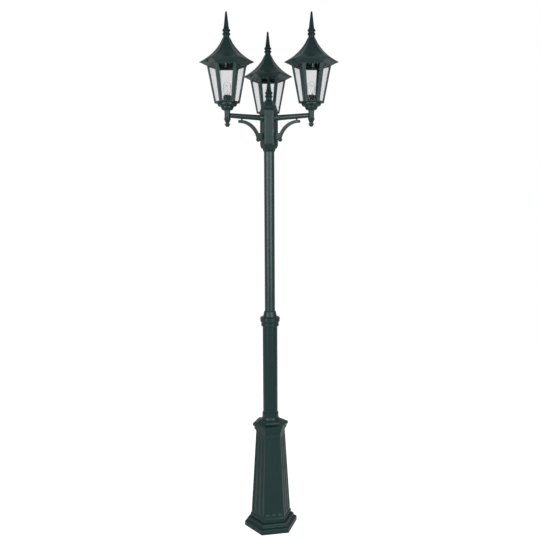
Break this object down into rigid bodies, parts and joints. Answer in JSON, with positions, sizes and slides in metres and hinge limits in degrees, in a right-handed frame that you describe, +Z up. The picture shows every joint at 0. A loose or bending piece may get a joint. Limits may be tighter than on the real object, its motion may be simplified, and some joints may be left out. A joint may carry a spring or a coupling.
{
  "type": "triple head lamp post",
  "caption": "Tall garden lamp post: fluted hexagonal base, stepped round pole and hexagonal glazed lanterns on radial arms with scroll brackets, roofs that lift off and lamps that come out.",
  "frame": {"origin": "centre of the ground plate's underside, on the axis of the pole", "axes": "+Z up along the pole, -Y the front, between the front lanterns; +X to the right, seen from the front"},
  "size_m": [0.6092, 0.5276, 2.4],
  "materials": {
    "arm_back": "gloss",
    "arm_left": "gloss",
    "arm_nuts": "satin",
    "arm_right": "gloss",
    "base_casting": "gloss",
    "bracket_screws": "satin",
    "bulb_cap_back": "satin",
    "bulb_cap_left": "satin",
    "bulb_cap_right": "satin",
    "bulb_glass_back": "gloss",
    "bulb_glass_left": "gloss",
    "bulb_glass_right": "gloss",
    "cage_back": "gloss",
    "cage_left": "gloss",
    "cage_right": "gloss",
    "collar_ring": "gloss",
    "collar_screws": "satin",
    "foot_screws": "satin",
    "ground_plate": "satin",
    "hub_cap": "gloss",
    "hub_casting": "gloss",
    "hub_screws": "satin",
    "hub_spire": "gloss",
    "lampholder_back": "gloss",
    "lampholder_left": "gloss",
    "lampholder_right": "gloss",
    "lantern_nipples": "satin",
    "lantern_nuts": "satin",
    "lower_pole": "gloss",
    "pan_back": "gloss",
    "pan_left": "gloss",
    "pan_right": "gloss",
    "pane_clip_back": "satin",
    "pane_clip_left": "satin",
    "pane_clip_right": "satin",
    "panes_back": "gloss",
    "panes_left": "gloss",
    "panes_right": "gloss",
    "pole_reducer": "gloss",
    "reducer_screws": "satin",
    "roof_back": "gloss",
    "roof_left": "gloss",
    "roof_right": "gloss",
    "roof_screws": "satin",
    "roof_spire_back": "gloss",
    "roof_spire_left": "gloss",
    "roof_spire_right": "gloss",
    "scroll_bracket_back": "gloss",
    "scroll_bracket_left": "gloss",
    "scroll_bracket_right": "gloss",
    "spindle_back": "gloss",
    "spindle_knob_back": "gloss",
    "spindle_knob_left": "gloss",
    "spindle_knob_right": "gloss",
    "spindle_left": "gloss",
    "spindle_right": "gloss",
    "terminal_block": "matte",
    "upper_pole": "gloss"
  },
  "bodies": {
    "post": {"arm_back": "arm_back", "arm_left": "arm_left", "arm_nuts": "arm_nuts", "arm_right": "arm_right", "base_casting": "base_casting", "bracket_screws": "bracket_screws", "cage_back": "cage_back", "cage_left": "cage_left", "cage_right": "cage_right", "collar_ring": "collar_ring", "collar_screws": "collar_screws", "foot_screws": "foot_screws", "ground_plate": "ground_plate", "hub_cap": "hub_cap", "hub_casting": "hub_casting", "hub_screws": "hub_screws", "hub_spire": "hub_spire", "lampholder_back": "lampholder_back", "lampholder_left": "lampholder_left", "lampholder_right": "lampholder_right", "lantern_nipples": "lantern_nipples", "lantern_nuts": "lantern_nuts", "lower_pole": "lower_pole", "pan_back": "pan_back", "pan_left": "pan_left", "pan_right": "pan_right", "pane_clip_back": "pane_clip_back", "pane_clip_left": "pane_clip_left", "pane_clip_right": "pane_clip_right", "panes_back": "panes_back", "panes_left": "panes_left", "panes_right": "panes_right", "pole_reducer": "pole_reducer", "reducer_screws": "reducer_screws", "roof_screws": "roof_screws", "scroll_bracket_back": "scroll_bracket_back", "scroll_bracket_left": "scroll_bracket_left", "scroll_bracket_right": "scroll_bracket_right", "spindle_back": "spindle_back", "spindle_knob_back": "spindle_knob_back", "spindle_knob_left": "spindle_knob_left", "spindle_knob_right": "spindle_knob_right", "spindle_left": "spindle_left", "spindle_right": "spindle_right", "terminal_block": "terminal_block", "upper_pole": "upper_pole"},
    "roof_back": {"roof_back": "roof_back", "roof_spire_back": "roof_spire_back"},
    "bulb_back": {"bulb_cap_back": "bulb_cap_back", "bulb_glass_back": "bulb_glass_back"},
    "roof_left": {"roof_left": "roof_left", "roof_spire_left": "roof_spire_left"},
    "bulb_left": {"bulb_cap_left": "bulb_cap_left", "bulb_glass_left": "bulb_glass_left"},
    "roof_right": {"roof_right": "roof_right", "roof_spire_right": "roof_spire_right"},
    "bulb_right": {"bulb_cap_right": "bulb_cap_right", "bulb_glass_right": "bulb_glass_right"}
  },
  "joints": [
    {"name": "roof_lift_back", "type": "slide", "parent": "post", "child": "roof_back", "axis": [0, 0, 1], "range_m": [0, 0.1]},
    {"name": "bulb_out_back", "type": "slide", "parent": "post", "child": "bulb_back", "axis": [0, 0, 1], "range_m": [0, 0.03]},
    {"name": "roof_lift_left", "type": "slide", "parent": "post", "child": "roof_left", "axis": [0, 0, 1], "range_m": [0, 0.1]},
    {"name": "bulb_out_left", "type": "slide", "parent": "post", "child": "bulb_left", "axis": [0, 0, 1], "range_m": [0, 0.03]},
    {"name": "roof_lift_right", "type": "slide", "parent": "post", "child": "roof_right", "axis": [0, 0, 1], "range_m": [0, 0.1]},
    {"name": "bulb_out_right", "type": "slide", "parent": "post", "child": "bulb_right", "axis": [0, 0, 1], "range_m": [0, 0.03]}
  ]
}
